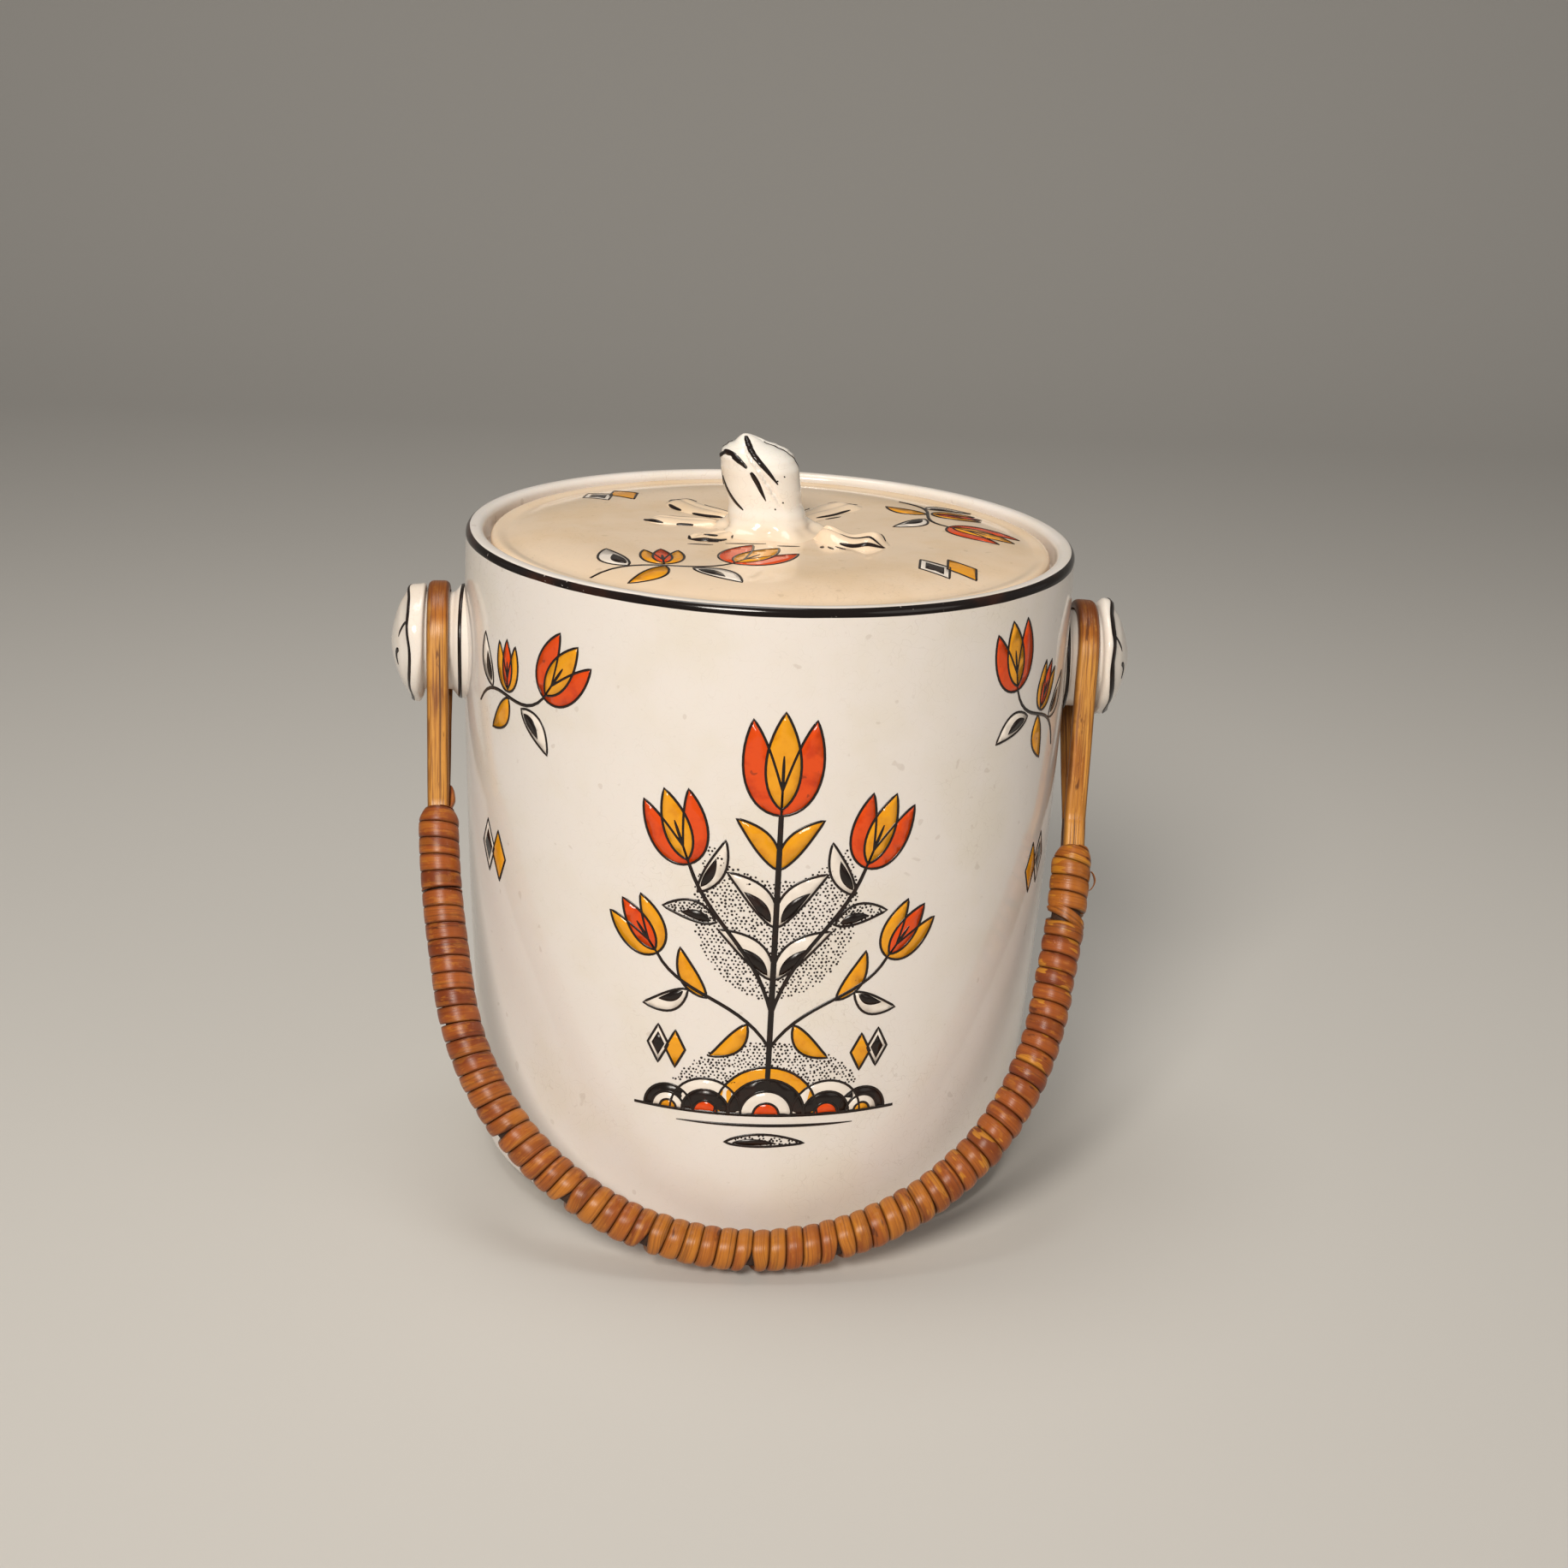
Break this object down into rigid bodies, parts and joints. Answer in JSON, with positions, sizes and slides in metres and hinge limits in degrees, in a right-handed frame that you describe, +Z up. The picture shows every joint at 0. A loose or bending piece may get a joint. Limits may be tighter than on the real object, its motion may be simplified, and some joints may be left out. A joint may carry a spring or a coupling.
{
  "type": "biscuit jar",
  "caption": "Round lidded earthenware jar with a bud knob, two side lugs and a cane-bound swing handle.",
  "frame": {"origin": "centre of the foot ring on the table, on the jar's axis", "axes": "+Z up along the jar's axis; X runs through the two lugs, +X to the right lug; -Y is the front, where the handle rests"},
  "size_m": [0.1669, 0.1434, 0.1697],
  "materials": {
    "glazed_body": "cream crazed lead glaze",
    "glazed_lid": "cream crazed lead glaze",
    "core_cane": "dark whole cane",
    "split_cane": "split cane with worn varnish",
    "binding_cane": "varnished flat cane"
  },
  "bodies": {
    "jar": {"jar_body": "glazed_body", "left_lug": "glazed_body", "right_lug": "glazed_body"},
    "lid": {"lid": "glazed_lid", "lid_knob": "glazed_lid", "leaf_back_left": "glazed_lid", "leaf_left": "glazed_lid", "leaf_front_left": "glazed_lid", "leaf_front_right": "glazed_lid", "leaf_back_right": "glazed_lid"},
    "handle": {"handle_core": "core_cane", "left_loop": "split_cane", "right_loop": "split_cane", "cane_wrap": "binding_cane", "left_whipping": "binding_cane", "right_whipping": "binding_cane", "left_tuck": "binding_cane", "right_tuck": "binding_cane"}
  },
  "joints": [
    {"name": "handle_swing", "type": "hinge", "parent": "jar", "child": "handle", "pos_m": [0, 0, 0.1205], "axis": [-1, 0, 0], "range_deg": [0, 296]},
    {"name": "lid_lift", "type": "slide", "parent": "jar", "child": "lid", "axis": [0, 0, 1], "range_m": [0, 0.03]}
  ]
}
